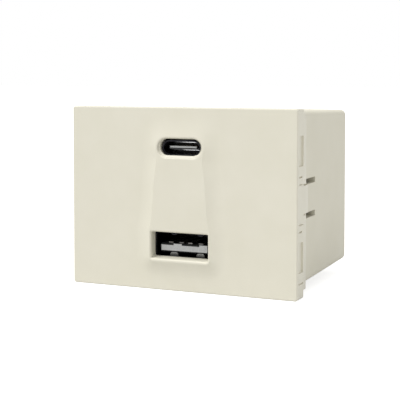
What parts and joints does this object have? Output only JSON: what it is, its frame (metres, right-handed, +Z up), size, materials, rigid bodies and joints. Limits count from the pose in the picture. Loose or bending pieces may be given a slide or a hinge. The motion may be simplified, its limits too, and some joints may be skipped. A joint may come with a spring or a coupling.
{
  "type": "usb wall socket",
  "caption": "Flush wall charging module with a USB-C port above a USB-A port, joined by a raised wedge on a plain rectangular plate, and a drafted housing with screw terminals behind.",
  "frame": {"origin": "centre of the plate, in the plane of the skirt's back face, where the module seats in its frame", "axes": "+X to the right of someone facing the plate (plate width), +Y into the wall, +Z up"},
  "size_m": [0.052, 0.0389, 0.039],
  "materials": {
    "cover_plastic": "satin moulded polycarbonate, ivory",
    "housing_plastic": "fine moulded texture, ivory",
    "shell_steel": "black nickel plated steel",
    "tongue_plastic": "light grey glass-filled nylon",
    "contact_gold": "gold-plated copper alloy",
    "mid_plate_steel": "stainless sheet",
    "board_laminate": "solder-masked glass laminate",
    "barrier_film": "insulating polyester film",
    "ferrite": "sintered ferrite",
    "bobbin_plastic": "phenolic moulding",
    "winding_tape": "polyester tape over copper wire",
    "capacitor_can": "sleeved aluminium can",
    "component_black": "epoxy moulding",
    "component_blue": "epoxy dip coating",
    "component_green": "cement coating",
    "chip_ceramic": "ceramic",
    "terminal_brass": "stamped brass",
    "cage_steel": "zinc-plated steel",
    "screw_steel": "zinc-plated steel"
  },
  "bodies": {
    "module": {"front_cover": "cover_plastic", "rear_housing": "housing_plastic", "usb_a_shell": "shell_steel", "usb_c_shell": "shell_steel", "usb_a_insulator": "tongue_plastic", "usb_c_insulator": "tongue_plastic", "usb_a_contacts": "contact_gold", "usb_c_contacts": "contact_gold", "usb_c_mid_plate": "mid_plate_steel", "power_board": "board_laminate", "port_board": "board_laminate", "board_link_pins": "contact_gold", "isolation_barrier": "barrier_film", "transformer_core_front": "ferrite", "transformer_core_rear": "ferrite", "transformer_bobbin": "bobbin_plastic", "transformer_winding": "winding_tape", "input_capacitor_1": "capacitor_can", "input_capacitor_2": "capacitor_can", "input_choke": "ferrite", "fusible_resistor": "component_green", "varistor": "component_blue", "bridge_rectifier": "component_black", "primary_controller": "component_black", "optocoupler": "component_black", "y_capacitor": "component_blue", "sync_rectifier": "component_black", "usb_c_controller": "component_black", "usb_a_controller": "component_black", "output_inductor": "ferrite", "output_capacitor_1": "capacitor_can", "output_capacitor_2": "capacitor_can", "chip_resistors": "component_black", "chip_capacitors": "chip_ceramic", "line_busbar": "terminal_brass", "neutral_busbar": "terminal_brass"},
    "line_screw_body": {"line_screw": "screw_steel"},
    "line_cage_body": {"line_cage": "cage_steel"},
    "neutral_screw_body": {"neutral_screw": "screw_steel"},
    "neutral_cage_body": {"neutral_cage": "cage_steel"}
  },
  "joints": [
    {"name": "line_screw_turn", "type": "hinge", "parent": "module", "child": "line_screw_body", "pos_m": [-0.0182, 0.029, -0.009], "axis": [0, -1, 0], "range_deg": [0, 2160.1]},
    {"name": "line_cage_rise", "type": "slide", "parent": "module", "child": "line_cage_body", "axis": [0, 1, 0], "range_m": [0, 0.003]},
    {"name": "neutral_screw_turn", "type": "hinge", "parent": "module", "child": "neutral_screw_body", "pos_m": [0.0182, 0.029, -0.009], "axis": [0, -1, 0], "range_deg": [0, 2160.1]},
    {"name": "neutral_cage_rise", "type": "slide", "parent": "module", "child": "neutral_cage_body", "axis": [0, 1, 0], "range_m": [0, 0.003]}
  ],
  "couplings": [
    {"joint": "line_screw_turn", "follows": "line_cage_rise", "rad_per_m": 12566},
    {"joint": "neutral_screw_turn", "follows": "neutral_cage_rise", "rad_per_m": 12566}
  ]
}
